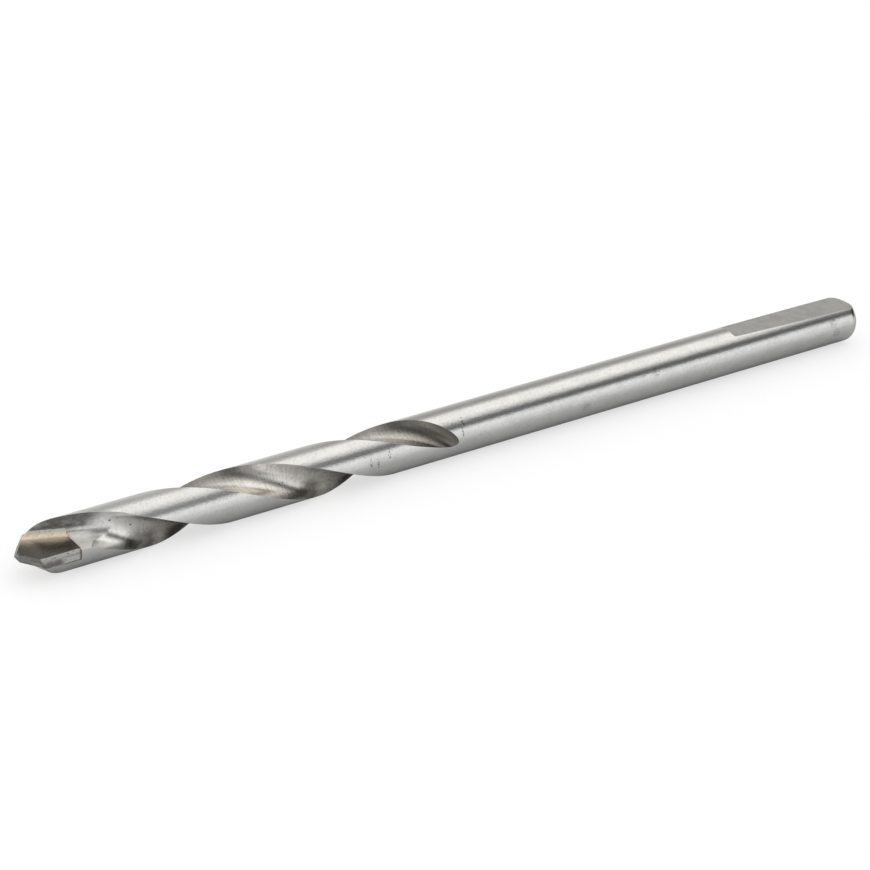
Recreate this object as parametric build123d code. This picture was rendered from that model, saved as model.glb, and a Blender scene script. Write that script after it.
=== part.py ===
from build123d import *
import os
from math import acos, ceil, cos, degrees, hypot, pi, radians, sin, sqrt, tan

# Pilot drill of a hole saw: a straight round shank with a set-screw flat, two right-hand flutes, and a
# carbide plate brazed into a slot across the tip. Millimetres and degrees. Every piece is drawn upright,
# shank end at height 0 and tip at the top, and is laid along +X at the end, with the flat facing +Z.
# Distances "from the tip" run down from the top. Angles turn about the axis, from what becomes +Y.

# Round body: a straight shank, a fluted part that widens a little towards the tip, and a nose where the
# steel is rounded off so that only the plate cuts
drill_diameter = 6.35
overall_length = 125.35
shank_diameter = 6.32
shank_end_radius = 1.3
nose_length = 5.3
nose_radius = 8.0

# Set-screw flat, ground deeper towards the shank end
flat_length = 20.95
flat_depth_at_shank_end = 1.03
flat_depth_at_step = 0.505
flat_step_radius = 0.4

# Flutes: the leading edge is the cutting side of each flute, and the heel edge is the other side
flute_count = 2
flute_lead = 46.2
leading_edge_angle = 69.4
flute_width_angle = 88.5
flute_bottom_angle = 44.5
sharp_web_at_tip = 1.5
sharp_web_at_run_out = 2.0
flute_bottom_radius = 2.9
rake_wall_radius = 5.4
full_depth_length = 49.5
run_out_radius = 31.0
run_out_angle = 6.0
twist_per_section = 15.0

# Carbide plate and the slot it is brazed into
plate_thickness = 1.5
plate_length = 6.8
plate_angle = -2.8
braze_gap = 0.08
braze_fillet_leg = 0.75

# Gash that clears the steel in front of each cutting half of the plate
plate_stands_proud = 0.25
gash_corner_offset = 3.2
gash_slope_angle = 21.1
gash_wall_lean = 9.0
gash_corner_radius = 0.9

# Four-facet point: a flank on each half, a facet in front of each that thins the middle, and a worn tip
point_angle = 111.0
flank_relief_angle = 29.0
thinning_angle = 35.0
tip_wear = 0.12

body_radius = drill_diameter / 2
shank_radius = shank_diameter / 2
half_plate = plate_thickness / 2
past_surface = drill_diameter
wall_overrun_angle = 40.0


def polar(radius, angle):
    return Vector(radius * cos(radians(angle)), radius * sin(radians(angle)))


# Plate directions: along its cutting half, and across it towards the flute in front of that half
along_plate = polar(1, plate_angle)
across_plate = polar(1, plate_angle + 90)


def plate_point(along, across, from_tip):
    place = along_plate * along + across_plate * across
    return Vector(place.X, place.Y, overall_length - from_tip)


def each_half(shape):
    """The shape at every flute, turned evenly about the axis."""
    return [Rot(Z=360 / flute_count * turn) * shape for turn in range(flute_count)]


# Flutes
def sharp_web(from_tip):
    """Metal left between the two flutes before their bottoms are rounded: it thickens up the drill."""
    share = min(max(from_tip, 0) / full_depth_length, 1)
    return sharp_web_at_tip + (sharp_web_at_run_out - sharp_web_at_tip) * share


def path_per_height():
    """Length of the flute's path along the surface for each millimetre along the axis."""
    return hypot(pi * drill_diameter, flute_lead) / flute_lead


def wheel_lift(from_tip):
    """How far the grinding wheel has risen out of the flute at this distance from the tip."""
    travel = max(from_tip - full_depth_length, 0) * path_per_height()
    return run_out_radius - sqrt(run_out_radius**2 - travel**2)


def risen_from_tip(rise):
    """Distance from the tip at which the grinding wheel has risen this far."""
    travel = sqrt(run_out_radius**2 - (run_out_radius - rise) ** 2)
    return full_depth_length + travel / path_per_height()


def flute_section(from_tip):
    """Outline cut away by one flute, square to the axis: both walls run on well past the surface."""
    bottom = polar(sharp_web(from_tip) / 2, flute_bottom_angle)
    lead = polar(body_radius, 0)
    heel = polar(body_radius, flute_width_angle)
    rake_chord = lead - bottom
    into_metal = Vector(rake_chord.Y, -rake_chord.X).normalized()
    middle_to_centre = sqrt(rake_wall_radius**2 - (rake_chord.length / 2) ** 2)
    rake_centre = (bottom + lead) * 0.5 + into_metal * middle_to_centre
    lead_outside = rake_centre + (lead - rake_centre).rotate(Axis.Z, -wall_overrun_angle)
    heel_outside = heel + (heel - bottom).normalized() * past_surface
    outside = polar(3 * body_radius, flute_bottom_angle)
    with BuildSketch() as outline:
        with BuildLine():
            ThreePointArc(bottom, lead, lead_outside)
            Polyline(lead_outside, outside, heel_outside, bottom)
        make_face()
        corner = outline.vertices().sort_by_distance(bottom)[0]
        fillet(corner, flute_bottom_radius)
    lift = polar(wheel_lift(from_tip), run_out_angle)
    turn = leading_edge_angle - 360 * from_tip / flute_lead
    place = Pos(0, 0, overall_length - from_tip) * Rot(Z=turn) * Pos(lift.X, lift.Y)
    return place * outline.sketch.face()


def flute():
    start = -past_surface / 2
    end = risen_from_tip(body_radius + flute_bottom_radius)
    steps = ceil((end - start) * 360 / flute_lead / twist_per_section)
    wires = [flute_section(start + (end - start) * step / steps).outer_wire() for step in range(steps + 1)]
    return Solid.make_loft(wires)


# Gash
def gash():
    """Straight groove along the plate: its floor is parallel to the plate, its wall leans outwards."""
    slope = tan(radians(gash_slope_angle))
    floor = half_plate - plate_stands_proud
    start = -past_surface / 2
    corner = -gash_corner_offset + start * slope
    top = floor + 2 * past_surface
    wall_top = corner - (top - floor) * tan(radians(gash_wall_lean))
    far_side = corner + 4 * past_surface
    profile = Wire.make_polygon(
        [
            plate_point(corner, floor, start),
            plate_point(far_side, floor, start),
            plate_point(far_side, top, start),
            plate_point(wall_top, top, start),
        ]
    )
    inner_corner = profile.vertices().sort_by_distance(plate_point(corner, floor, start))[0]
    profile = profile.fillet_2d(gash_corner_radius, [inner_corner])
    reach = (gash_corner_offset + body_radius) / slope - start
    return Solid.extrude(Face(profile), plate_point(slope * reach, 0, reach) - plate_point(0, 0, 0))


# Point
def above_plane(along_slope, across_slope, start):
    """Everything above a flank that falls along the plate and falls towards its back."""
    square_to_flank = along_plate * along_slope - across_plate * across_slope + Vector(0, 0, 1)
    size = 4 * drill_diameter
    flank = Plane(origin=start, z_dir=square_to_flank)
    return flank * Box(size, size, size, align=(Align.CENTER, Align.CENTER, Align.MIN))


def point_grind():
    """Everything that grinding the point takes off, from the plate and from the steel around it."""
    sharp_point = plate_point(0, 0, -tip_wear)
    lip_fall = 1 / tan(radians(point_angle / 2))
    flank = above_plane(lip_fall, tan(radians(flank_relief_angle)), sharp_point)
    thinning = above_plane(0, -tan(radians(thinning_angle)), sharp_point)
    return each_half(flank) + each_half(thinning) + [above_plane(0, 0, plate_point(0, 0, 0))]


# Body before slotting
def flat_cutter():
    fall = (flat_depth_at_shank_end - flat_depth_at_step) / flat_length
    outer = shank_radius + past_surface
    below_end = -past_surface
    profile = Wire.make_polygon(
        [
            (-outer, shank_radius - flat_depth_at_step, flat_length),
            (-outer, outer, flat_length),
            (-outer, outer, below_end),
            (-outer, shank_radius - flat_depth_at_shank_end + fall * below_end, below_end),
        ]
    )
    step = profile.vertices().sort_by_distance((-outer, shank_radius - flat_depth_at_step, flat_length))[0]
    profile = profile.fillet_2d(flat_step_radius, [step])
    return Solid.extrude(Face(profile), Vector(2 * outer, 0, 0))


def round_blank():
    """Turned rod: rounded end, straight shank up to the flutes, slight taper, nose curving inwards."""
    shoulder = overall_length - nose_length
    shank_length = overall_length - risen_from_tip(body_radius - sharp_web_at_run_out / 2)
    turned = acos(1 - body_radius / nose_radius)
    nose_middle = Vector(body_radius - nose_radius, shoulder)
    half_way = nose_middle + polar(nose_radius, degrees(turned / 2))
    nose_end = nose_middle + polar(nose_radius, degrees(turned))
    with BuildSketch(Plane.XZ) as half_outline:
        with BuildLine():
            Polyline(nose_end, (0, 0), (shank_radius, 0), (shank_radius, shank_length), (body_radius, shoulder))
            ThreePointArc((body_radius, shoulder), half_way, nose_end)
        make_face()
        rim = half_outline.vertices().sort_by_distance((shank_radius, 0, 0))[0]
        fillet(rim, shank_end_radius)
    return revolve(half_outline.sketch, Axis.Z)


def fluted_blank():
    return round_blank() - flat_cutter() - each_half(flute()) - each_half(gash())


def plate_box(extra):
    """The plate's block, larger by this much on its two sides and its inner end."""
    length = plate_length + extra
    width = 2 * (body_radius + past_surface)
    block = Box(width, plate_thickness + 2 * extra, length + past_surface)
    middle = overall_length - length + (length + past_surface) / 2
    return Pos(0, 0, middle) * Rot(Z=plate_angle) * block


def carbide_plate():
    rod = Cylinder(body_radius, overall_length, align=(Align.CENTER, Align.CENTER, Align.MIN))
    return (rod & plate_box(0)) - point_grind()


def braze_fillet():
    """Concave bead in the corner between the plate's face and the wall of the gash."""
    slope = tan(radians(gash_slope_angle))
    lean = radians(gash_wall_lean)
    corner = -gash_corner_offset - plate_stands_proud * tan(lean)
    hidden = braze_fillet_leg
    on_plate = plate_point(corner + braze_fillet_leg, half_plate, 0)
    on_wall = plate_point(corner - braze_fillet_leg * sin(lean), half_plate + braze_fillet_leg * cos(lean), 0)
    inner = plate_point(corner, half_plate, 0)
    hollow = (on_plate + on_wall) * 0.5 * 0.75 + inner * 0.25
    behind_wall = on_wall - along_plate * hidden
    behind_corner = inner - along_plate * hidden
    profile = Wire(
        [
            Edge.make_three_point_arc(on_plate, hollow, on_wall),
            Edge.make_line(on_wall, behind_wall),
            Edge.make_line(behind_wall, behind_corner),
            Edge.make_line(behind_corner, on_plate),
        ]
    )
    run = plate_point(slope * plate_length, 0, plate_length) - plate_point(0, 0, 0)
    return Solid.extrude(Face(profile), run)


def main():
    blank = fluted_blank()
    slot = plate_box(braze_gap)
    drill_body = blank - slot - point_grind()
    beads = [(bead & round_blank()) - blank for bead in each_half(braze_fillet())]
    braze_joint = (blank & slot) + beads - plate_box(0) - point_grind()

    os.makedirs("parts", exist_ok=True)
    pieces = {"drill_body": drill_body, "carbide_tip": carbide_plate(), "braze_joint": braze_joint}
    for name, piece in pieces.items():
        export_step(Plane.YZ * piece, f"parts/{name}.step")


main()
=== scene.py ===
from math import atan2, cos, hypot, pi, radians, sin, sqrt, tan

import bmesh
import bpy
import numpy as np
from mathutils import Matrix, Vector

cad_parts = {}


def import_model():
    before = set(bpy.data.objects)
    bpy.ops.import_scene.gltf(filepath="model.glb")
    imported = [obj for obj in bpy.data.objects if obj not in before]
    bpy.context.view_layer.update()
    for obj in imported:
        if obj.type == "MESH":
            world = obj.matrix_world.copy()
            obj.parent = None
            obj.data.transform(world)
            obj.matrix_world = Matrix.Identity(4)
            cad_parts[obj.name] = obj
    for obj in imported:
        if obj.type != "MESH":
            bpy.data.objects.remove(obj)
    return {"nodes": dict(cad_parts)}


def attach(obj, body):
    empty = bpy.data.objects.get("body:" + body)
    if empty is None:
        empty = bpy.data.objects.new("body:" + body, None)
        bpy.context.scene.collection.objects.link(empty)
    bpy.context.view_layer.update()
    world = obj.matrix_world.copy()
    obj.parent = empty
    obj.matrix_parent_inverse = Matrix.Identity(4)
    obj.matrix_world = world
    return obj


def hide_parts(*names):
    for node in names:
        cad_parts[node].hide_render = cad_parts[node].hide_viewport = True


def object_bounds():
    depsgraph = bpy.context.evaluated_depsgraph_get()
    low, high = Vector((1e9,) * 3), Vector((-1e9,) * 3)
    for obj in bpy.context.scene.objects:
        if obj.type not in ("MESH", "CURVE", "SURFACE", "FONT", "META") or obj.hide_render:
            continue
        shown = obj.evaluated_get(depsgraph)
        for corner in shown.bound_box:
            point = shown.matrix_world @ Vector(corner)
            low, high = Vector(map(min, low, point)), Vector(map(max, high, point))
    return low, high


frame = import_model()
cad_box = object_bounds()

# Looks of the pilot drill of a hole saw. Lengths are in millimetres and angles in degrees, and each piece
# is scaled to metres once it is built. X runs along the axis from the shank end to the tip, and the
# set-screw flat faces +Z. Distances "from the tip" run back along the axis. Angles turn about the axis,
# from +Y towards +Z.
MILLIMETRE = 0.001

# Sizes of the CAD solids, repeated here for the fine meshes that stand for them
overall_length = cad_box[1].x / MILLIMETRE
drill_radius = cad_box[1].y / MILLIMETRE
shank_radius = 3.16
shank_end_radius = 1.3
nose_length = 5.3
nose_radius = 8.0
flat_length = 20.95
flat_depth_at_shank_end = 1.03
flat_depth_at_step = 0.505
flat_step_radius = 0.4
flute_lead = 46.2
leading_edge_angle = 69.4
flute_width_angle = 88.5
flute_bottom_angle = 44.5
sharp_web_at_tip = 1.5
sharp_web_at_run_out = 2.0
flute_bottom_radius = 2.9
rake_wall_radius = 5.4
full_depth_length = 49.5
run_out_radius = 31.0
run_out_angle = 6.0
plate_thickness = 1.5
plate_length = 6.8
plate_angle = -2.8
braze_gap = 0.08
plate_stands_proud = 0.25
gash_corner_offset = 3.2
gash_slope_angle = 21.1
gash_wall_lean = 9.0
gash_corner_radius = 0.9
point_angle = 111.0
flank_relief_angle = 29.0
thinning_angle = 35.0
tip_wear = 0.12

# Fineness of the drill body's mesh
flute_columns = 56
land_columns = 84
first_ring_from_tip = 0.2
nose_rings = 18
flute_rings = 130
run_out_rings = 70
shank_end_rings = 14
merge_distance = 2e-5
run_out_tolerance = 1e-7
body_smooth_angle = 28
end_face_lean = 0.999

# Fineness of the flute's outline, which runs on past its leading edge by this many radians
rake_points = 160
bottom_points = 120
heel_points = 200
rake_overrun = 0.7
fillet_points = 14

# Fineness of the plate's mesh, and its broken edges
plate_rim_points = 256
plate_edge_rounding = 0.035
plate_edge_angle = 20
plate_smooth_angle = 24

shoulder = overall_length - nose_length
past_surface = 2 * drill_radius

# The straight shank runs up to where the grinding wheel has risen out of the flutes
path_per_height = hypot(2 * pi * drill_radius, flute_lead) / flute_lead
full_rise = drill_radius - sharp_web_at_run_out / 2
run_out_path = sqrt(run_out_radius**2 - (run_out_radius - full_rise) ** 2)
shank_length = overall_length - full_depth_length - run_out_path / path_per_height

# Gash: its slope, its floor's distance from the axis, and where it ends, along the axis
gash_slope = tan(radians(gash_slope_angle))
gash_floor = plate_thickness / 2 - plate_stands_proud
gash_end = overall_length - (gash_corner_offset + drill_radius) / gash_slope

# Every edge looks rounded by the first radius. The second one is added where a gash runs into a flute, and
# grows over this length up to the gash's end.
ground_edge_radius = 0.05
blended_edge_radius = 0.55
blended_edge_length = 3.0

# Marks of use and small flaws, as places on the surface, and places of painted dark reflection in the
# flutes
shank_scuffs = [(78.8, 3.1, 0.5), (77.8, 3.15, 0.2), (76.1, 3.0, 1.0), (65.2, 3.0, 1.0), (64.8, 2.3, 2.2)]
flute_pits = [(114.2, 1.1, 1.0), (113.7, 1.1, 1.9), (111.2, 1.5, 0.8)]
carbide_stains = [(122.6, 3.1, -0.5), (121.6, 3.1, -0.5)]
bead_pits = [(118.4, -0.45, 0.95)]
shank_smudges = [(4.7, 2.9, 1.2), (4.1, 3.1, -0.4), (34.8, 2.8, 1.4), (46.2, 3.1, -0.4)]
# Places where the flutes' colour holds painted dark reflection
painted_flute_reflections = [
    (80.2, 0.3, -2.2),
    (87.0, 1.9, -1.6),
    (104.6, 0.5, -2.3),
    (109.5, 1.75, -1.85),
    (110.7, 2.2, -1.4),
]

# Stretches along the axis over which a finish changes towards the tip: painted dark reflection darkens the
# flutes up to the end of their run-out, then they get paler and smoother, and a gash gets a painted
# highlight on its floor with braze wiped on it, and painted dark reflection on its wall that fades again
painted_run_out_reflection = (67.5, 76.0)
paler_flute = (107.5, 113.0)
painted_floor_highlight = (115.0, 117.0)
wiped_braze = (116.6, 118.2)
painted_wall_reflection = (115.3, 117.8)
painted_wall_reflection_fade = (119.8, 122.5)


def polar(radius, angle):
    """The place at this distance and angle round the axis, as its two coordinates across it."""
    return np.array([cos(radians(angle)), sin(radians(angle))]) * radius


# Directions of the carbide plate
along_plate = np.array([0, *polar(1, plate_angle)])
across_plate = np.array([0, *polar(1, plate_angle + 90)])


# Node graphs
class Finish:
    """The nodes of one material, with a short call for each kind of node that the finishes use."""

    def __init__(self, name):
        self.material = bpy.data.materials.new(name)
        self.material.use_nodes = True
        self.tree = self.material.node_tree
        self.tree.nodes.clear()
        self.place = self.node("TexCoord").outputs["Object"]
        self.millimetres = self.scaled(self.place, (1 / MILLIMETRE,) * 3)

    def node(self, kind, **settings):
        made = self.tree.nodes.new("ShaderNode" + kind)
        for name, value in settings.items():
            setattr(made, name, value)
        return made

    def feed(self, socket, value):
        """Give a socket another node's output, or a plain value."""
        if isinstance(value, bpy.types.NodeSocket):
            self.tree.links.new(value, socket)
        else:
            socket.default_value = value

    def math(self, operation, first, second=0.0):
        made = self.node("Math", operation=operation)
        self.feed(made.inputs[0], first)
        self.feed(made.inputs[1], second)
        return made.outputs[0]

    def scaled(self, vector, factors):
        made = self.node("VectorMath", operation="MULTIPLY")
        self.feed(made.inputs[0], vector)
        self.feed(made.inputs[1], factors)
        return made.outputs[0]

    def split(self, vector):
        made = self.node("SeparateXYZ")
        self.feed(made.inputs[0], vector)
        return made.outputs

    def along(self):
        """Distance in millimetres along the axis from the shank end."""
        return self.split(self.millimetres)[0]

    def along_helix(self):
        """The place in millimetres, untwisted, so that a flute runs straight along X."""
        turn = self.math("MULTIPLY", self.along(), -2 * pi / flute_lead)
        made = self.node("VectorRotate", rotation_type="X_AXIS")
        self.feed(made.inputs["Vector"], self.millimetres)
        self.feed(made.inputs["Angle"], turn)
        return made.outputs[0]

    def noise(self, vector, factors, detail=3.0, roughness=0.55, distortion=0.0):
        """Noise from 0 to 1: the factors say how fine it is each way, in features to the millimetre."""
        made = self.node("TexNoise")
        self.feed(made.inputs["Vector"], self.scaled(vector, factors))
        self.feed(made.inputs["Scale"], 1.0)
        self.feed(made.inputs["Detail"], detail)
        self.feed(made.inputs["Roughness"], roughness)
        self.feed(made.inputs["Distortion"], distortion)
        return made.outputs[0]

    def ranged(self, value, low, high, to_low=0.0, to_high=1.0):
        """A smooth step from one level at the low value to the other level at the high value."""
        made = self.node("MapRange", interpolation_type="SMOOTHSTEP")
        self.feed(made.inputs["Value"], value)
        self.feed(made.inputs["From Min"], low)
        self.feed(made.inputs["From Max"], high)
        self.feed(made.inputs["To Min"], to_low)
        self.feed(made.inputs["To Max"], to_high)
        return made.outputs[0]

    def mixed(self, share, first, second):
        """The first colour, with this share of the second in its place."""
        made = self.node("Mix", data_type="RGBA")
        self.feed(made.inputs[0], share)
        self.feed(made.inputs[6], first)
        self.feed(made.inputs[7], second)
        return made.outputs[2]

    def bump(self, height, depth, normal=None):
        """A normal bent by this height, where a height of 1 stands for this depth in millimetres."""
        made = self.node("Bump")
        self.feed(made.inputs["Height"], height)
        self.feed(made.inputs["Distance"], depth * MILLIMETRE)
        if normal is not None:
            self.feed(made.inputs["Normal"], normal)
        return made.outputs[0]

    def rounded(self, radius):
        """The surface normal, rounded over edges by this radius in millimetres."""
        made = self.node("Bevel", samples=6)
        self.feed(made.inputs["Radius"], self.math("MULTIPLY", radius, MILLIMETRE))
        return made.outputs[0]

    def radius(self):
        """Distance from the axis in millimetres."""
        return self.length(self.scaled(self.millimetres, (0, 1, 1)))

    def length(self, vector):
        made = self.node("VectorMath", operation="LENGTH")
        self.feed(made.inputs[0], vector)
        return made.outputs["Value"]

    def towards(self, direction):
        """Distance in millimetres from the origin, measured along this direction."""
        made = self.node("VectorMath", operation="DOT_PRODUCT")
        self.feed(made.inputs[0], self.millimetres)
        self.feed(made.inputs[1], tuple(direction))
        return made.outputs["Value"]

    def above_floor(self):
        """Height in millimetres over the floor of the gash, on either side of the plate."""
        from_middle = self.math("ABSOLUTE", self.towards(across_plate))
        return self.math("SUBTRACT", from_middle, gash_floor)

    def painted_reflection_high_on_wall(self):
        """Share from 0 to 1 by which a place is high up a gash's wall, where the colour holds painted dark
        reflection.
        """
        return self.ranged(self.above_floor(), 1.4, 2.3)

    def past_gash_corner(self):
        """Distance in millimetres from the gash's corner, along the plate towards its cutting edge."""
        side = self.math("SIGN", self.towards(across_plate))
        along_half = self.math("MULTIPLY", self.towards(along_plate), side)
        from_tip = self.math("SUBTRACT", overall_length, self.along())
        corner = self.math("MULTIPLY", from_tip, gash_slope)
        return self.math("ADD", self.math("SUBTRACT", along_half, corner), gash_corner_offset)

    def edge_rounding(self):
        """Radius over which the gash and the flute run into each other, small again at the outside."""
        inside = self.ranged(self.radius(), drill_radius - 0.9, drill_radius - 0.3, 1.0, 0.0)
        beside_gash = self.ranged(self.along(), gash_end - blended_edge_length, gash_end)
        blended = self.math("MULTIPLY", self.math("MULTIPLY", inside, beside_gash), blended_edge_radius)
        return self.math("ADD", blended, ground_edge_radius)

    def placed(self, places, factors, softness=0.4):
        """Ragged marks at these places in millimetres: the factors say how short they are each way."""
        raggedness = 0.8
        reach = 0.9
        ragged = self.noise(self.millimetres, (4.0, 4.0, 4.0), detail=2.0)
        marks = 0.0
        for place in places:
            offset = self.node("VectorMath", operation="SUBTRACT")
            self.feed(offset.inputs[0], self.millimetres)
            self.feed(offset.inputs[1], place)
            away = self.length(self.scaled(offset.outputs[0], factors))
            away = self.math("ADD", away, self.math("MULTIPLY", ragged, raggedness))
            marks = self.math("MAXIMUM", marks, self.ranged(away, reach, reach + softness, 1.0, 0.0))
        return marks

    def surface(self, base, roughness, normal, metallic=1.0):
        shader = self.node("BsdfPrincipled")
        self.feed(shader.inputs["Metallic"], metallic)
        self.feed(shader.inputs["Base Color"], base)
        self.feed(shader.inputs["Roughness"], roughness)
        self.feed(shader.inputs["Normal"], normal)
        out = self.node("OutputMaterial")
        self.tree.links.new(shader.outputs[0], out.inputs["Surface"])
        return self.material


def colour(red, green, blue):
    return (red, green, blue, 1.0)


# Steel and carbide
def round_steel():
    """Centreless-ground steel: fine rings round the shank, a light grain and a few rubbed spots."""
    finish = Finish("round_steel")
    rings = finish.noise(finish.millimetres, (12.0, 0.4, 0.4), detail=3.0, roughness=0.7)
    haze = finish.noise(finish.millimetres, (0.45, 0.8, 0.8), detail=3.0)
    grain = finish.noise(finish.millimetres, (3.4, 3.4, 3.4), detail=3.0, roughness=0.7)
    dots = finish.noise(finish.millimetres, (5.0, 5.0, 5.0), detail=2.0)
    bright, dull = colour(0.885, 0.883, 0.87), colour(0.83, 0.828, 0.815)
    base = finish.mixed(finish.ranged(haze, 0.35, 0.65), bright, dull)
    base = finish.mixed(finish.ranged(grain, 0.46, 0.74, 0.0, 0.22), base, colour(0.42, 0.41, 0.40))
    smudged = finish.placed(shank_smudges, (1.7, 1.7, 1.7), softness=1.0)
    smudged = finish.math("MULTIPLY", smudged, finish.ranged(dots, 0.35, 0.65))
    base = finish.mixed(finish.math("MULTIPLY", smudged, 0.5), base, colour(0.25, 0.25, 0.25))
    rubbed = finish.placed(shank_scuffs, (4.2, 1.1, 1.1))
    rubbed = finish.math("MULTIPLY", rubbed, finish.ranged(dots, 0.48, 0.58))
    base = finish.mixed(finish.math("MULTIPLY", rubbed, 0.75), base, colour(0.14, 0.135, 0.13))
    rough = finish.ranged(grain, 0.35, 0.7, 0.08, 0.13)
    rough = finish.math("ADD", rough, finish.math("MULTIPLY", rings, 0.05))
    height = finish.math("ADD", rings, finish.math("MULTIPLY", grain, 3.0))
    normal = finish.bump(height, 0.0065, finish.rounded(ground_edge_radius))
    return finish.surface(base, rough, normal)


def flute_steel():
    """Ground flutes: dark grain, faint ribs across, tints, small pits and patches of painted dark
    reflection.
    """
    finish = Finish("flute_steel")
    helix = finish.along_helix()
    streaks = finish.noise(helix, (0.3, 3.2, 3.2), detail=4.0, roughness=0.65)
    ribs = finish.noise(finish.millimetres, (3.8, 0.2, 0.2), detail=1.0)
    grain = finish.noise(finish.millimetres, (3.2, 3.2, 3.2), detail=4.0, roughness=0.75)
    clouds = finish.noise(helix, (0.14, 0.5, 0.5), detail=3.0, roughness=0.55, distortion=0.3)
    pits = finish.noise(finish.millimetres, (3.8, 3.8, 3.8), detail=1.0)
    along = finish.along()
    clean, tinted = colour(0.97, 0.94, 0.88), colour(0.86, 0.83, 0.78)
    base = finish.mixed(finish.ranged(clouds, 0.38, 0.62), clean, tinted)
    base = finish.mixed(finish.ranged(streaks, 0.42, 0.72, 0.0, 0.22), base, colour(0.50, 0.46, 0.40))
    base = finish.mixed(finish.ranged(along, *paler_flute, 0.0, 0.8), base, colour(0.98, 0.97, 0.95))
    ribs_left = finish.ranged(along, *paler_flute, 0.3, 0.1)
    ribbed = finish.math("MULTIPLY", finish.ranged(ribs, 0.48, 0.6), ribs_left)
    base = finish.mixed(ribbed, base, colour(0.54, 0.51, 0.46))
    # Painted dark reflection high up the gash's wall, near the tip
    wall = finish.math("MULTIPLY", finish.painted_reflection_high_on_wall(), finish.ranged(along, *paler_flute, 0.0, 0.5))
    base = finish.mixed(wall, base, colour(0.30, 0.28, 0.25))
    speckles_left = finish.ranged(along, *paler_flute, 0.62, 0.3)
    speckled = finish.math("MULTIPLY", finish.ranged(grain, 0.52, 0.70), speckles_left)
    speckled = finish.math("MULTIPLY", speckled, finish.ranged(finish.radius(), 1.4, 2.4, 0.6, 1.0))
    base = finish.mixed(speckled, base, colour(0.27, 0.25, 0.22))
    base = finish.mixed(finish.ranged(pits, 0.71, 0.74, 0.0, 0.8), base, colour(0.06, 0.055, 0.05))
    # Painted dark reflection at these places
    painted_reflection_share = finish.placed(painted_flute_reflections, (0.6, 0.75, 0.75), softness=1.0)
    base = finish.mixed(finish.math("MULTIPLY", painted_reflection_share, 0.85), base, colour(0.13, 0.12, 0.10))
    # Painted dark reflection over the run-out, full at its end and gone by the far end of this stretch
    run_out = finish.ranged(along, *painted_run_out_reflection, 0.94, 0.0)
    base = finish.mixed(run_out, base, colour(0.17, 0.155, 0.13))
    pitted = finish.placed(flute_pits, (5.5, 5.5, 5.5))
    base = finish.mixed(finish.math("MULTIPLY", pitted, 0.85), base, colour(0.05, 0.045, 0.04))
    roughness_left = finish.ranged(along, *paler_flute, 1.0, 0.65)
    rough = finish.math("MULTIPLY", finish.ranged(grain, 0.3, 0.7, 0.18, 0.29), roughness_left)
    height = finish.math("ADD", finish.math("MULTIPLY", streaks, 0.8), finish.math("MULTIPLY", grain, 1.4))
    height = finish.math("ADD", height, finish.math("MULTIPLY", ribs, 0.9))
    height = finish.math("MULTIPLY", height, finish.ranged(along, *paler_flute, 1.0, 0.35))
    normal = finish.bump(height, 0.008, finish.rounded(finish.edge_rounding()))
    metallic = finish.ranged(along, *paler_flute, 1.0, 0.92)
    return finish.surface(base, rough, normal, metallic)


def flat_steel():
    """Set-screw flat, ground across: even grey with fine marks square to the axis."""
    finish = Finish("flat_steel")
    marks = finish.noise(finish.millimetres, (9.0, 0.5, 0.5), detail=4.0, roughness=0.7)
    mottle = finish.noise(finish.millimetres, (0.7, 0.7, 0.7), detail=4.0)
    pale, grey = colour(0.86, 0.85, 0.83), colour(0.75, 0.74, 0.72)
    base = finish.mixed(finish.ranged(mottle, 0.35, 0.7), pale, grey)
    base = finish.mixed(finish.ranged(marks, 0.5, 0.7, 0.0, 0.35), base, colour(0.52, 0.51, 0.49))
    rough = finish.ranged(marks, 0.3, 0.7, 0.38, 0.5)
    normal = finish.bump(marks, 0.006, finish.rounded(0.06))
    return finish.surface(base, rough, normal)


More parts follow.
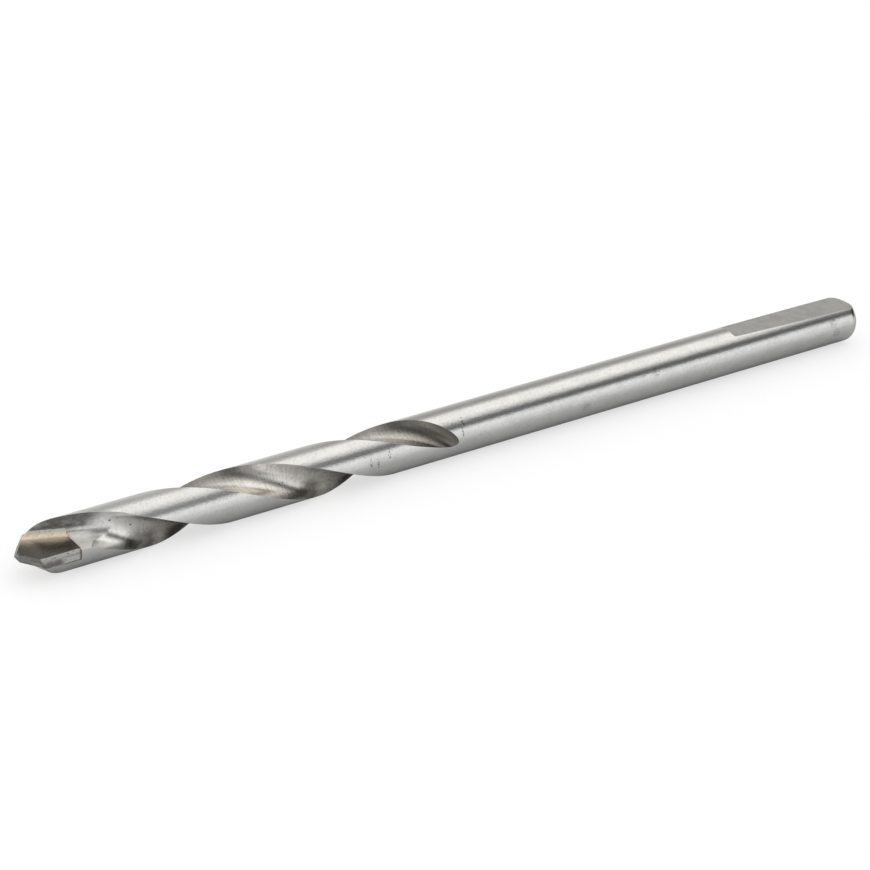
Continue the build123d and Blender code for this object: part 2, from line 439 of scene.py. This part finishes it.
def gash_steel():
    """Gash ground through the steel in front of the plate: painted dark reflection on its wall, and a
    painted highlight on its floor by the braze.
    """
    finish = Finish("gash_steel")
    streaks = finish.noise(finish.millimetres, (0.7, 3.5, 3.5), detail=3.0, roughness=0.65)
    grain = finish.noise(finish.millimetres, (3.2, 3.2, 3.2), detail=4.0, roughness=0.75)
    pale, grey = colour(0.99, 0.98, 0.96), colour(0.84, 0.83, 0.80)
    base = finish.mixed(finish.ranged(streaks, 0.4, 0.65), pale, grey)
    along = finish.along()
    height = finish.above_floor()
    # Painted dark reflection high up the wall
    base = finish.mixed(finish.math("MULTIPLY", finish.painted_reflection_high_on_wall(), 0.5), base, colour(0.30, 0.28, 0.25))
    low_down = finish.ranged(height, 0.4, 0.9, 0.4, 0.0)
    wiped = finish.math("MULTIPLY", finish.ranged(along, *wiped_braze), low_down)
    slanting = finish.math("ADD", along, finish.math("MULTIPLY", height, 0.6))
    # Painted dark reflection up the wall, growing along the axis, halved again towards the tip and mottled
    # by the streaks
    dark = finish.math("MULTIPLY", finish.ranged(height, 0.7, 1.3), finish.ranged(slanting, *painted_wall_reflection))
    dark = finish.math("MULTIPLY", dark, finish.ranged(along, *painted_wall_reflection_fade, 1.0, 0.5))
    dark = finish.math("MULTIPLY", dark, finish.ranged(streaks, 0.25, 0.6, 0.7, 0.93))
    base = finish.mixed(dark, base, colour(0.12, 0.112, 0.10))
    base = finish.mixed(wiped, base, colour(0.97, 0.86, 0.72))
    base = finish.mixed(finish.ranged(grain, 0.55, 0.72, 0.0, 0.4), base, colour(0.30, 0.27, 0.23))
    rough = finish.ranged(grain, 0.3, 0.7, 0.15, 0.24)
    normal = finish.bump(finish.math("ADD", streaks, grain), 0.0045, finish.rounded(finish.edge_rounding()))
    # Painted highlight: low on the floor by the braze, the pale base shows as diffuse white in place of
    # metal
    floor_highlight_metallic = finish.ranged(along, *painted_floor_highlight, 0.92, 0.35)
    metallic = finish.math("MAXIMUM", floor_highlight_metallic, finish.ranged(height, 0.2, 0.6, 0.0, 0.95))
    return finish.surface(base, rough, normal, metallic)


def carbide():
    """Ground carbide with a dark rake face, tinted next to the braze, and a brighter worn margin."""
    finish = Finish("carbide")
    lines = finish.noise(finish.millimetres, (0.8, 6.0, 6.0), detail=3.0, roughness=0.6)
    grain = finish.noise(finish.millimetres, (4.0, 4.0, 4.0), detail=3.0, roughness=0.7)
    lined = finish.ranged(lines, 0.3, 0.7)
    base = finish.mixed(lined, colour(0.56, 0.55, 0.53), colour(0.44, 0.43, 0.41))
    rake = finish.ranged(finish.above_floor(), plate_stands_proud - 0.02, plate_stands_proud - 0.01)
    dark = finish.mixed(lined, colour(0.26, 0.245, 0.22), colour(0.19, 0.18, 0.16))
    seam = overall_length - plate_length
    along = finish.along()
    tinted = finish.ranged(finish.past_gash_corner(), 0.7, 2.9, 0.9, 0.0)
    tinted = finish.math("MAXIMUM", tinted, finish.ranged(along, seam, seam + 1.2, 0.5, 0.0))
    dark = finish.mixed(tinted, dark, colour(0.64, 0.53, 0.40))
    base = finish.mixed(rake, base, dark)
    margin = finish.ranged(finish.radius(), drill_radius - 0.03, drill_radius - 0.01)
    base = finish.mixed(margin, base, colour(0.70, 0.69, 0.66))
    beside_seam = finish.ranged(along, seam + 0.05, seam + 0.3, 0.7, 0.0)
    base = finish.mixed(beside_seam, base, colour(0.16, 0.11, 0.07))
    stained = finish.placed(carbide_stains, (1.3, 1.3, 2.2), softness=1.0)
    base = finish.mixed(finish.math("MULTIPLY", stained, 0.75), base, colour(0.09, 0.085, 0.08))
    base = finish.mixed(finish.ranged(grain, 0.5, 0.68, 0.0, 0.6), base, colour(0.14, 0.135, 0.13))
    rough = finish.ranged(grain, 0.3, 0.7, 0.26, 0.4)
    normal = finish.bump(finish.math("ADD", lines, grain), 0.004)
    metallic = finish.ranged(finish.past_gash_corner(), 0.7, 2.0, 0.5, 1.0)
    return finish.surface(base, rough, normal, metallic)


def braze():
    """Smooth brass-coloured bead, drawn out along the plate, with brown edges and a few dark pits."""
    finish = Finish("braze")
    drawn = finish.noise(finish.millimetres, (0.9, 5.0, 5.0), detail=3.0)
    grain = finish.noise(finish.millimetres, (4.0, 4.0, 4.0), detail=2.0)
    pale, brown = colour(0.98, 0.88, 0.74), colour(0.82, 0.68, 0.52)
    base = finish.mixed(finish.ranged(drawn, 0.4, 0.68), pale, brown)
    on_wall = finish.ranged(finish.above_floor(), 0.5, 0.9)
    base = finish.mixed(finish.math("MULTIPLY", on_wall, 0.85), base, colour(0.68, 0.66, 0.61))
    on_plate = finish.ranged(finish.past_gash_corner(), 0.4, 0.75)
    base = finish.mixed(finish.math("MULTIPLY", on_plate, 0.85), base, colour(0.50, 0.41, 0.31))
    pitted = finish.placed(bead_pits, (3.0, 3.0, 3.0))
    base = finish.mixed(pitted, base, colour(0.10, 0.08, 0.06))
    hidden = finish.ranged(finish.radius(), drill_radius - 0.5, drill_radius - 0.2)
    base = finish.mixed(hidden, base, colour(0.13, 0.09, 0.055))
    rough = finish.ranged(grain, 0.3, 0.7, 0.26, 0.4)
    normal = finish.bump(drawn, 0.012)
    return finish.surface(base, rough, normal, metallic=0.35)


finishes = {
    "round": round_steel(),
    "flute": flute_steel(),
    "flat": flat_steel(),
    "gash": gash_steel(),
    "carbide": carbide(),
    "braze": braze(),
}


# Outline of the drill body
def body_radius(along):
    """Radius of the turned rod at this distance along the axis from the shank end."""
    if along < shank_end_radius:
        back = shank_end_radius - along
        return shank_radius - shank_end_radius + sqrt(shank_end_radius**2 - back**2)
    if along <= shank_length:
        return shank_radius
    if along <= shoulder:
        share = (along - shank_length) / (shoulder - shank_length)
        return shank_radius + (drill_radius - shank_radius) * share
    return drill_radius - nose_radius + sqrt(nose_radius**2 - (along - shoulder) ** 2)


def outward_slope(along):
    """How far the turned surface's normal leans along the axis, as a share of the whole normal."""
    if along < shank_end_radius:
        return (along - shank_end_radius) / shank_end_radius
    return max(along - shoulder, 0) / nose_radius


def arc(centre, radius, angles):
    """Points of a circle at these angles, in radians."""
    return centre + radius * np.column_stack([np.cos(angles), np.sin(angles)])


def flute_outline(from_tip):
    """Points along one flute's section: leading side first, then its rounded bottom and its heel side."""
    share = min(from_tip / full_depth_length, 1)
    web = sharp_web_at_tip + (sharp_web_at_run_out - sharp_web_at_tip) * share
    bottom = polar(web / 2, flute_bottom_angle)
    lead = polar(drill_radius, 0)
    chord = lead - bottom
    into_metal = np.array([chord[1], -chord[0]]) / np.linalg.norm(chord)
    to_centre = sqrt(rake_wall_radius**2 - chord @ chord / 4)
    rake_centre = (bottom + lead) / 2 + into_metal * to_centre

    # The bottom's centre is one radius off the heel wall, and both radii away from the rake wall's centre
    along_heel = polar(drill_radius, flute_width_angle) - bottom
    along_heel = along_heel / np.linalg.norm(along_heel)
    off_heel = np.array([along_heel[1], -along_heel[0]])
    start = bottom + off_heel * flute_bottom_radius
    to_start = start - rake_centre
    back = to_start @ along_heel
    missing = (rake_wall_radius + flute_bottom_radius) ** 2 - to_start @ to_start
    bottom_centre = start + along_heel * (sqrt(back**2 + missing) - back)

    to_lead = lead - rake_centre
    to_bottom = bottom_centre - rake_centre
    lead_way = atan2(to_lead[1], to_lead[0])
    tangent_way = atan2(to_bottom[1], to_bottom[0])
    heel_way = atan2(-off_heel[1], -off_heel[0])
    rake_angles = np.linspace(lead_way - rake_overrun, tangent_way, rake_points)
    rake = arc(rake_centre, rake_wall_radius, rake_angles)
    sweep = (heel_way - tangent_way) % (2 * pi) - pi
    bottom_angles = tangent_way + pi + sweep * np.linspace(0, 1, bottom_points)
    rounding = arc(bottom_centre, flute_bottom_radius, bottom_angles)
    heel = rounding[-1] + np.outer(np.linspace(0, past_surface, heel_points), along_heel)

    travel = max(from_tip - full_depth_length, 0) * path_per_height
    lift = run_out_radius - sqrt(run_out_radius**2 - travel**2)
    return np.vstack([rake, rounding[1:], heel[1:]]) + polar(lift, run_out_angle)


def flute_depth(from_tip):
    """How deep the flute lies below the body's surface here: below zero past the flute's end."""
    outline = flute_outline(from_tip)
    return body_radius(overall_length - from_tip) - np.hypot(*outline.T).min()


def half_ring(from_tip):
    """One flute from its leading edge to its heel, then the land up to the other flute.

    Past the flute's end, all of the flute's points lie at one place.
    """
    radius = body_radius(overall_length - from_tip)
    outline = flute_outline(from_tip)
    reach = np.hypot(*outline.T)
    deepest = int(reach.argmin())
    if reach[deepest] >= radius:
        closed = outline[deepest] * radius / reach[deepest]
        floor = np.repeat([closed], flute_columns + 1, axis=0)
    else:
        before = int(np.nonzero(reach[:deepest] >= radius)[0][-1])
        after = deepest + int(np.nonzero(reach[deepest:] >= radius)[0][0])

        def crossing(outer, inner):
            share = (radius - reach[inner]) / (reach[outer] - reach[inner])
            return outline[inner] + (outline[outer] - outline[inner]) * share

        inside = outline[before + 1 : after]
        points = np.vstack([crossing(before, before + 1), inside, crossing(after, after - 1)])
        steps = np.linalg.norm(np.diff(points, axis=0), axis=1)
        travelled = np.concatenate([[0], np.cumsum(steps)])
        even = np.linspace(0, travelled[-1], flute_columns + 1)
        floor = np.column_stack([np.interp(even, travelled, points[:, side]) for side in range(2)])
    heel_angle = atan2(floor[-1][1], floor[-1][0])
    lead_angle = atan2(floor[0][1], floor[0][0])
    angles = np.linspace(heel_angle, lead_angle + pi, land_columns + 1)[1:-1]
    return np.vstack([floor, arc(0, radius, angles)])


def ring_at(along, section):
    """The points of a section, set this far along the axis."""
    return np.column_stack([np.full(len(section), along), section])


def fluted_ring(from_tip):
    """Both flutes and both lands at this place, turned with the twist, as (x, y, z) points."""
    turn = radians(leading_edge_angle - 360 * from_tip / flute_lead)
    half = half_ring(from_tip)
    turned = []
    for angle in (turn, turn + pi):
        turned.append(half @ np.array([[cos(angle), sin(angle)], [-sin(angle), cos(angle)]]))
    return ring_at(overall_length - from_tip, np.vstack(turned))


# Mesh building
def mesh_object(name, points, faces, kinds, kind_of_face=None):
    """An object of these faces, with a finish for each kind, and each face's kind by its number."""
    mesh = bpy.data.meshes.new(name)
    mesh.from_pydata([tuple(map(float, point)) for point in points], [], faces)
    for kind in kinds:
        mesh.materials.append(finishes[kind])
    if kind_of_face is not None:
        mesh.polygons.foreach_set("material_index", kind_of_face)
    made = bpy.data.objects.new(name, mesh)
    bpy.context.scene.collection.objects.link(made)
    clean = bmesh.new()
    clean.from_mesh(mesh)
    bmesh.ops.remove_doubles(clean, verts=clean.verts, dist=merge_distance)
    bmesh.ops.recalc_face_normals(clean, faces=clean.faces)
    clean.to_mesh(mesh)
    clean.free()
    return made


def rounded_corner(before, corner, after, radius):
    """Points of an arc in place of a corner between two straight lines."""
    before, corner, after = (np.array(point, float) for point in (before, corner, after))
    back = (before - corner) / np.linalg.norm(before - corner)
    ahead = (after - corner) / np.linalg.norm(after - corner)
    half = np.arccos(back @ ahead) / 2
    middle = (back + ahead) / np.linalg.norm(back + ahead)
    centre = corner + middle * radius / sin(half)
    first, last = (corner + way * radius / tan(half) - centre for way in (back, ahead))
    turn = pi - 2 * half
    return [
        tuple(centre + (first * sin(turn * (1 - share)) + last * sin(turn * share)) / sin(turn))
        for share in np.linspace(0, 1, fillet_points)
    ]


def prism(name, profile, sweep, kind):
    """Solid with this outline, pushed along the sweep."""
    count = len(profile)
    start = [Vector(point) for point in profile]
    points = start + [point + Vector(sweep) for point in start]
    faces = [tuple(range(count)), tuple(range(count, 2 * count))]
    for corner in range(count):
        following = (corner + 1) % count
        faces.append((corner, following, following + count, corner + count))
    return mesh_object(name, points, faces, [kind])


def combined(target, operation, cutter):
    """The target cut by, or limited to, the cutter, which then goes. Cut faces get the cutter's finish."""
    modifier = target.modifiers.new("cut", "BOOLEAN")
    modifier.operation = operation
    modifier.solver = "EXACT"
    modifier.material_mode = "TRANSFER"
    modifier.object = cutter
    baked(target)
    bpy.data.objects.remove(cutter)
    return target


def baked(target):
    """The object's modifiers, turned into plain mesh."""
    bpy.context.view_layer.update()
    evaluated = target.evaluated_get(bpy.context.evaluated_depsgraph_get())
    result = bpy.data.meshes.new_from_object(evaluated)
    target.modifiers.clear()
    target.data = result
    return target


def plate_point(along, across, from_tip, sign=1):
    """A place by the plate's own directions. A sign of -1 gives it on the plate's other half."""
    on_axis = np.array([overall_length - from_tip, 0, 0])
    return (along_plate * along + across_plate * across) * sign + on_axis


def gash_cutter(sign):
    """Straight groove along one half of the plate: its floor is parallel to the plate, its wall leans."""
    start = -past_surface / 2
    corner = -gash_corner_offset + start * gash_slope
    top = gash_floor + 2 * past_surface
    wall_top = corner - (top - gash_floor) * tan(radians(gash_wall_lean))
    far_side = corner + 4 * past_surface
    wall_end, floor_end = (wall_top, top), (far_side, gash_floor)
    rounding = rounded_corner(wall_end, (corner, gash_floor), floor_end, gash_corner_radius)
    outline = [*rounding, floor_end, (far_side, top), wall_end]
    reach = (gash_corner_offset + drill_radius) / gash_slope - start
    sweep = plate_point(gash_slope * reach, 0, reach, sign) - plate_point(0, 0, 0, sign)
    return prism("gash_cutter", [plate_point(*place, start, sign) for place in outline], sweep, "gash")


def plate_block(extra, kind):
    """The plate's block, larger by this much on its two sides and its inner end."""
    side = plate_thickness / 2 + extra
    inner = plate_length + extra
    corners = ((-1, inner), (1, inner), (1, -inner), (-1, -inner))
    profile = [plate_point(way * past_surface, -side, from_tip) for way, from_tip in corners]
    return prism("plate_block", profile, across_plate * 2 * side, kind)


def flat_cutter():
    """Everything above the set-screw flat, with the rounded corner at its step."""
    fall = (flat_depth_at_shank_end - flat_depth_at_step) / flat_length
    top = shank_radius + past_surface
    start = -past_surface
    low_end = (start, shank_radius - flat_depth_at_shank_end + fall * start)
    step = (flat_length, shank_radius - flat_depth_at_step)
    rounding = rounded_corner(low_end, step, (flat_length, top), flat_step_radius)
    outline = [*rounding, (flat_length, top), (start, top), low_end]
    profile = [(along, -past_surface, height) for along, height in outline]
    return prism("flat_cutter", profile, (0, 2 * past_surface, 0), "flat")


def point_envelope(kind):
    """Everything that grinding the point leaves: a long block under the four facets and the worn tip."""
    corners = ((-1, -1), (1, -1), (1, 1), (-1, 1))
    profile = [Vector((-1, side, up)) * past_surface for side, up in corners]
    block = prism("point_envelope", profile, (overall_length + past_surface, 0, 0), kind)
    shape = bmesh.new()
    shape.from_mesh(block.data)
    lip_fall = 1 / tan(radians(point_angle / 2))
    falls = [(lip_fall, tan(radians(flank_relief_angle))), (0, -tan(radians(thinning_angle)))]
    for sign in (1, -1):
        for along_fall, across_fall in falls:
            falling = (along_plate * along_fall - across_plate * across_fall) * sign
            facing = falling + np.array([1, 0, 0])
            cut = bmesh.ops.bisect_plane(
                shape,
                geom=shape.verts[:] + shape.edges[:] + shape.faces[:],
                plane_co=plate_point(0, 0, -tip_wear),
                plane_no=facing / np.linalg.norm(facing),
                clear_outer=True,
            )
            rim = [item for item in cut["geom_cut"] if isinstance(item, bmesh.types.BMEdge)]
            bmesh.ops.contextual_create(shape, geom=rim)
    bmesh.ops.recalc_face_normals(shape, faces=shape.faces)
    shape.to_mesh(block.data)
    shape.free()
    return block


def to_metres(piece):
    """The piece, built in millimetres, at its real size."""
    piece.data.transform(Matrix.Scale(MILLIMETRE, 4))
    return piece


# Drill body
def run_out_end():
    """How far from the tip the flutes come out of the surface altogether."""
    shallow, past = full_depth_length, overall_length - shank_length
    while past - shallow > run_out_tolerance:
        middle = (shallow + past) / 2
        if flute_depth(middle) > 0:
            shallow = middle
        else:
            past = middle
    return past


def fluted_rings():
    """Rings from just behind the tip to the end of the run-out, closer together where the flutes end."""
    end = run_out_end()
    eased = 1 - (1 - np.linspace(0, 1, run_out_rings)) ** 2
    nose = np.linspace(first_ring_from_tip, nose_length, nose_rings)
    full_depth = np.linspace(nose_length, full_depth_length, flute_rings)
    run_out = full_depth_length + (end - full_depth_length) * eased
    return [fluted_ring(place) for place in (*nose, *full_depth[1:], *run_out[1:])]


def shank_rings(last_fluted):
    """Plain rings from the straight shank's start to its rounded end, lined up with the last fluted one."""
    section = last_fluted[:, 1:]
    directions = section / np.linalg.norm(section, axis=1)[:, None]
    rounded_end = shank_end_radius * (1 - np.cos(np.linspace(pi / 2, 0, shank_end_rings)))
    return [ring_at(along, directions * body_radius(along)) for along in (shank_length, *rounded_end)]


def fluted_rod():
    """Turned rod with both flutes, as rings of points joined by faces from the tip to the shank's end."""
    rings = fluted_rings()
    rings += shank_rings(rings[-1])
    columns = len(rings[0])
    kinds = ["round", "flute"]
    faces, kind_of_face = [], []
    for ring in range(len(rings) - 1):
        near, far = ring * columns, (ring + 1) * columns
        for column in range(columns):
            following = (column + 1) % columns
            faces.append((near + column, near + following, far + following, far + column))
            in_flute = column % (columns // 2) < flute_columns
            kind_of_face.append(kinds.index("flute" if in_flute else "round"))
    last = (len(rings) - 1) * columns
    faces += [tuple(range(columns)), tuple(range(last, last + columns))]
    kind_of_face += [kinds.index("round")] * 2
    return mesh_object("drill_body_fine", np.vstack(rings), faces, kinds, kind_of_face)


def shade_body(piece):
    """Smooth shading with crisp edges between finishes, and true normals on the turned surface.

    The flat end of the shank leans straight along the axis and keeps its own normals.
    """
    mesh = piece.data
    shape = bmesh.new()
    shape.from_mesh(mesh)
    for face in shape.faces:
        face.smooth = True
    for edge in shape.edges:
        linked = edge.link_faces
        if len(linked) == 2:
            differs = linked[0].material_index != linked[1].material_index
            edge.smooth = not differs and edge.calc_face_angle(0) < radians(body_smooth_angle)
    shape.to_mesh(mesh)
    shape.free()
    mesh.update()
    normals = [corner.vector.copy() for corner in mesh.corner_normals]
    for face in mesh.polygons:
        is_turned = mesh.materials[face.material_index] == finishes["round"]
        is_end = abs(face.normal.x) > end_face_lean
        if is_end or not is_turned:
            continue
        for loop in face.loop_indices:
            place = mesh.vertices[mesh.loops[loop].vertex_index].co
            lean = outward_slope(place.x)
            outward = sqrt(max(1 - lean**2, 0)) / hypot(place.y, place.z)
            normals[loop] = Vector((lean, place.y * outward, place.z * outward))
    mesh.normals_split_custom_set(normals)
    return piece


def drill_body():
    """The rod with its ground point, set-screw flat, gashes and slot."""
    body = fluted_rod()
    combined(body, "INTERSECT", point_envelope("gash"))
    combined(body, "DIFFERENCE", flat_cutter())
    for sign in (1, -1):
        combined(body, "DIFFERENCE", gash_cutter(sign))
    combined(body, "DIFFERENCE", plate_block(braze_gap, "braze"))
    return to_metres(shade_body(body))


def carbide_tip():
    """The plate, with its sharp edges just broken."""
    rim = arc(0, drill_radius, np.linspace(0, 2 * pi, plate_rim_points, endpoint=False))
    start = overall_length - 2 * plate_length
    plate = prism("carbide_tip_fine", ring_at(start, rim), (3 * plate_length, 0, 0), "carbide")
    combined(plate, "INTERSECT", plate_block(0, "carbide"))
    combined(plate, "INTERSECT", point_envelope("carbide"))
    rounding = plate.modifiers.new("broken edges", "BEVEL")
    rounding.width = plate_edge_rounding
    rounding.segments = 2
    rounding.limit_method = "ANGLE"
    rounding.angle_limit = radians(plate_edge_angle)
    rounding.harden_normals = True
    baked(plate)
    plate.data.shade_smooth()
    plate.data.set_sharp_from_angle(angle=radians(plate_smooth_angle))
    return to_metres(plate)


body = drill_body()
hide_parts("drill_body")
plate = carbide_tip()
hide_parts("carbide_tip")
for piece in (body, plate):
    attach(piece, "root")

beads = frame["nodes"]["braze_joint"]
beads.data.materials.clear()
beads.data.materials.append(finishes["braze"])


# Floor and light, in metres
floor_height = -drill_radius * MILLIMETRE
floor_size = 6.0
floor_colour = colour(0.40, 0.40, 0.40)
floor_glow = 0.62
light_level = 1.0

# The floor also glows in reflections: over this stretch, in millimetres beside the drill, the glow grows
mirrored_glow = 0.28
mirrored_stretch = (-1, 24)

# Half drum that the polished steel reflects, with its brightness by elevation: 0 degrees is level on the
# camera's side, and 90 is straight up
studio_radius = 0.6
studio_reach = 12.0
studio_steps = 96
studio_levels = [
    (-4, 0.74),
    (0, 0.79),
    (15, 0.85),
    (22, 0.80),
    (27, 0.50),
    (32, 0.13),
    (48, 0.13),
    (54, 0.27),
    (61, 0.58),
    (70, 0.83),
    (80, 1.0),
    (105, 1.0),
    (113, 0.92),
    (121, 0.60),
    (131, 0.37),
    (144, 0.33),
    (162, 0.44),
    (184, 0.64),
]
cool_light = (0.985, 1.0, 1.0)
warm_light = (1.0, 0.985, 0.955)
warm_above = 55

# Share of that brightness left towards the shank end and towards the tip, and share of white mixed into it
# everywhere but towards the shank end. Each changes over a range of leans: a place on the drum leans by 1
# towards the tip, and by -1 towards the shank end.
shank_way_level = 0.12
shank_way_leans = (-0.82, -0.70)
tip_way_level = 0.32
tip_way_leans = (-0.30, 0.25)
white_share = 0.25
white_leans = (-0.45, -0.20)


def white_floor():
    """Pale floor that reads white to the camera and keeps the object's shadow."""
    finish = Finish("floor_white")
    paint = finish.node("BsdfDiffuse")
    paint.inputs["Color"].default_value = floor_colour
    rays = finish.node("LightPath").outputs
    seen = finish.math("MAXIMUM", rays["Is Camera Ray"], rays["Is Transmission Ray"])
    glow = finish.node("Emission")
    to_side = finish.math("ABSOLUTE", finish.split(finish.millimetres)[1])
    beside = finish.ranged(to_side, *mirrored_stretch, 0.0, mirrored_glow)
    mirrored = finish.math("MULTIPLY", rays["Is Glossy Ray"], beside)
    strength = finish.math("ADD", finish.math("MULTIPLY", seen, floor_glow), mirrored)
    finish.feed(glow.inputs["Strength"], strength)
    both = finish.node("AddShader")
    finish.feed(both.inputs[0], paint.outputs[0])
    finish.feed(both.inputs[1], glow.outputs[0])
    out = finish.node("OutputMaterial")
    finish.feed(out.inputs["Surface"], both.outputs[0])
    return finish.material


def studio_light():
    """Soft light that changes with the elevation round the drill, as a photographer's tent and cards do."""
    finish = Finish("studio_light")
    _, side, up = finish.split(finish.place)
    elevation = finish.math("MULTIPLY", finish.math("ARCTAN2", up, side), 180 / pi)
    first, last = studio_levels[0][0], studio_levels[-1][0]
    below = finish.math("LESS_THAN", elevation, first)
    elevation = finish.math("ADD", elevation, finish.math("MULTIPLY", below, 360.0))
    ramp = finish.node("ValToRGB")
    share = finish.math("DIVIDE", finish.math("SUBTRACT", elevation, first), last - first)
    finish.feed(ramp.inputs[0], share)
    stops = ramp.color_ramp.elements
    while len(stops) < len(studio_levels):
        stops.new(0.5)
    for stop, (place, level) in zip(stops, studio_levels):
        stop.position = (place - first) / (last - first)
        tint = warm_light if place > warm_above else cool_light
        stop.color = colour(*(level * part for part in tint))
    lean = finish.math("DIVIDE", finish.split(finish.place)[0], finish.length(finish.place))
    shank_way = finish.ranged(lean, *shank_way_leans, shank_way_level, 1.0)
    tip_way = finish.ranged(lean, *tip_way_leans, 1.0, tip_way_level)
    whiter = finish.ranged(lean, *white_leans, 0.0, white_share)
    glow = finish.node("Emission")
    finish.feed(glow.inputs["Color"], finish.mixed(whiter, ramp.outputs[0], colour(1, 1, 1)))
    finish.feed(glow.inputs["Strength"], finish.math("MULTIPLY", shank_way, tip_way))
    out = finish.node("OutputMaterial")
    finish.feed(out.inputs["Surface"], glow.outputs[0])
    return finish.material


def stage_object(name, points, faces, material):
    mesh = bpy.data.meshes.new(name)
    mesh.from_pydata(points, [], faces)
    mesh.materials.append(material)
    made = bpy.data.objects.new(name, mesh)
    bpy.context.scene.collection.objects.link(made)
    return made


def floor():
    half = floor_size / 2
    points = [(x * half, y * half, floor_height) for x, y in ((-1, -1), (1, -1), (1, 1), (-1, 1))]
    return stage_object("floor", points, [(0, 1, 2, 3)], white_floor())


def studio():
    """Half drum over the drill, which only reflections see."""
    first, last = studio_levels[0][0], studio_levels[-1][0]
    points, faces = [], []
    for step in range(studio_steps + 1):
        angle = radians(first + (last - first) * step / studio_steps)
        for end in (-studio_reach, studio_reach):
            points.append((end, studio_radius * cos(angle), studio_radius * sin(angle)))
    for step in range(studio_steps):
        near = 2 * step
        faces.append((near, near + 1, near + 3, near + 2))
    drum = stage_object("studio", points, faces, studio_light())
    drum.visible_camera = False
    drum.visible_diffuse = False
    drum.visible_transmission = False
    drum.visible_shadow = False
    return drum


def world():
    """White surroundings, to the camera and in reflections, with plain even light on everything else."""
    made = bpy.data.worlds.new("studio_world")
    made.use_nodes = True
    tree = made.node_tree
    background = tree.nodes["Background"]
    background.inputs["Color"].default_value = colour(1, 1, 1)
    rays = tree.nodes.new("ShaderNodeLightPath").outputs
    seen = tree.nodes.new("ShaderNodeMath")
    seen.operation = "MAXIMUM"
    tree.links.new(rays["Is Camera Ray"], seen.inputs[0])
    tree.links.new(rays["Is Glossy Ray"], seen.inputs[1])
    either = tree.nodes.new("ShaderNodeMath")
    either.operation = "MAXIMUM"
    tree.links.new(seen.outputs[0], either.inputs[0])
    tree.links.new(rays["Is Transmission Ray"], either.inputs[1])
    level = tree.nodes.new("ShaderNodeMapRange")
    level.inputs["To Min"].default_value = light_level
    level.inputs["To Max"].default_value = 1.0
    tree.links.new(either.outputs[0], level.inputs["Value"])
    tree.links.new(level.outputs[0], background.inputs["Strength"])
    bpy.context.scene.world = made


floor()
studio()
world()

# Camera, placed as the photograph's
camera_place = Vector((246.35, 267.90, 155.94)) * MILLIMETRE
camera_forward = Vector((-0.5, -0.7485, -0.4356)).normalized()
camera_lens = 118.456
camera = bpy.data.objects.new("camera", bpy.data.cameras.new("camera"))
camera.data.lens = camera_lens
camera.data.sensor_width = 36
camera.data.clip_start = 0.01
camera.data.clip_end = 10
camera.location = camera_place
camera.rotation_euler = camera_forward.to_track_quat("-Z", "Y").to_euler()
bpy.context.scene.collection.objects.link(camera)
bpy.context.scene.camera = camera
bpy.context.scene.view_settings.view_transform = "Standard"
